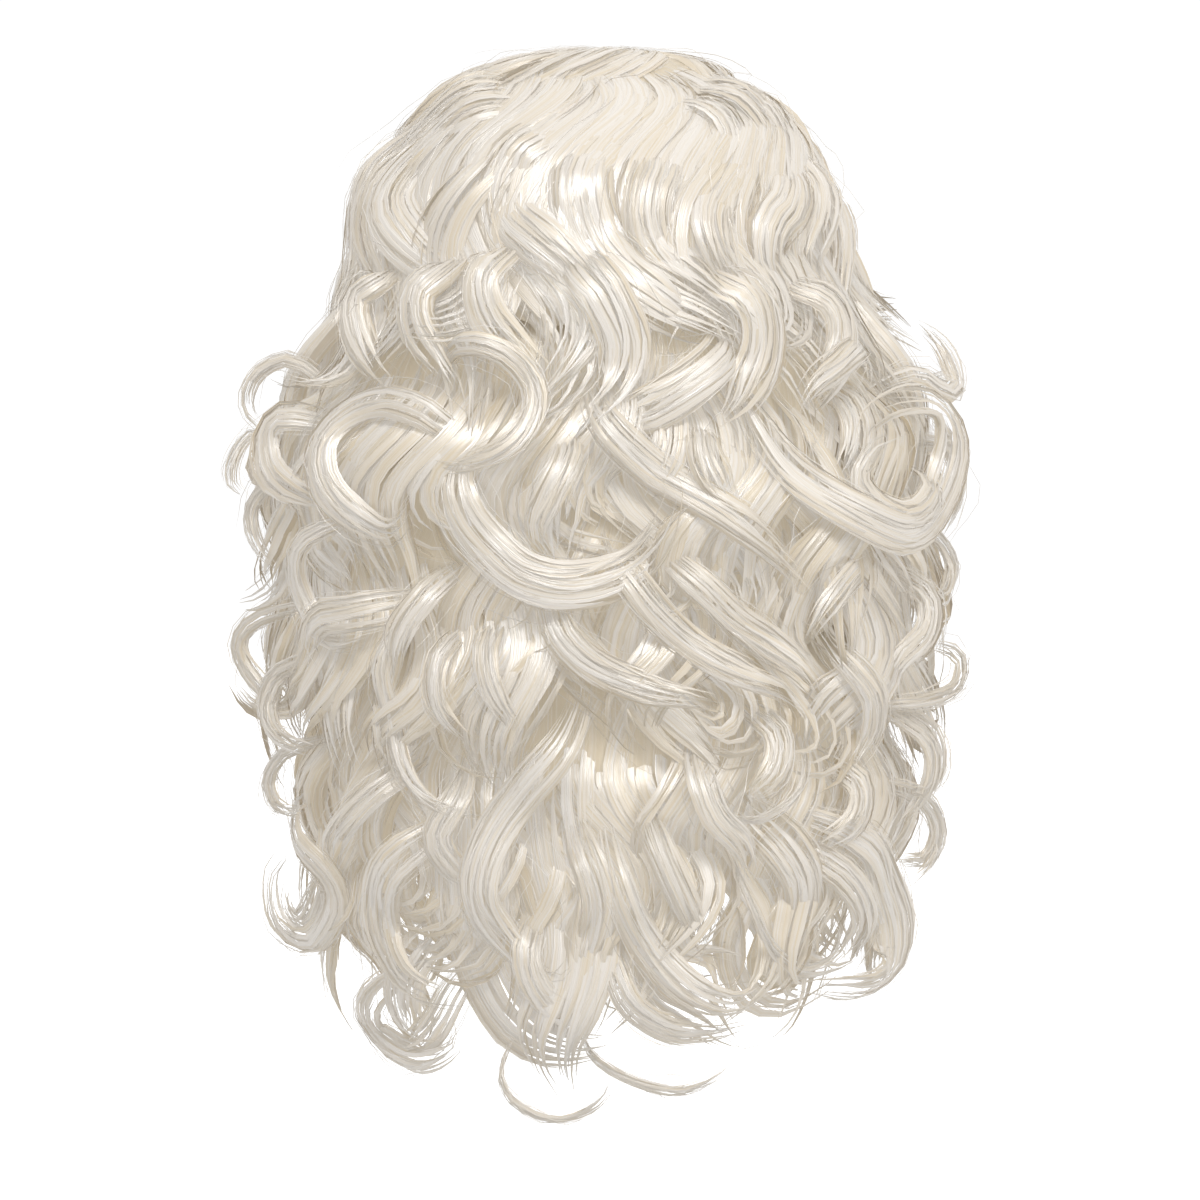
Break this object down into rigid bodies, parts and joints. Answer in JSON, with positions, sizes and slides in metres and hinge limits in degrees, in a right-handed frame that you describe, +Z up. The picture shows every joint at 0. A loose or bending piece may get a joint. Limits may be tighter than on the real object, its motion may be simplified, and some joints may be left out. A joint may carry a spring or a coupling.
{
  "type": "curly costume wig",
  "caption": "Long pale wig of loose curls: a hollow fitted cap under a waved crown, a parted front and overlapping tiers of curled hair.",
  "frame": {"origin": "where the top of the head meets the inside of the cap", "axes": "+Z up, +Y towards the back of the head, +X towards the wearer's left, so the face looks along -Y"},
  "size_m": [0.3231, 0.2421, 0.444],
  "materials": {
    "hair": "glossy synthetic fibre",
    "cap": "matt knitted net"
  },
  "bodies": {
    "root": {"cap": "cap", "crown_weft": "hair", "front_weft_left": "hair", "front_weft_right": "hair", "upper_weft": "hair", "middle_weft": "hair", "lower_weft": "hair"}
  },
  "joints": []
}
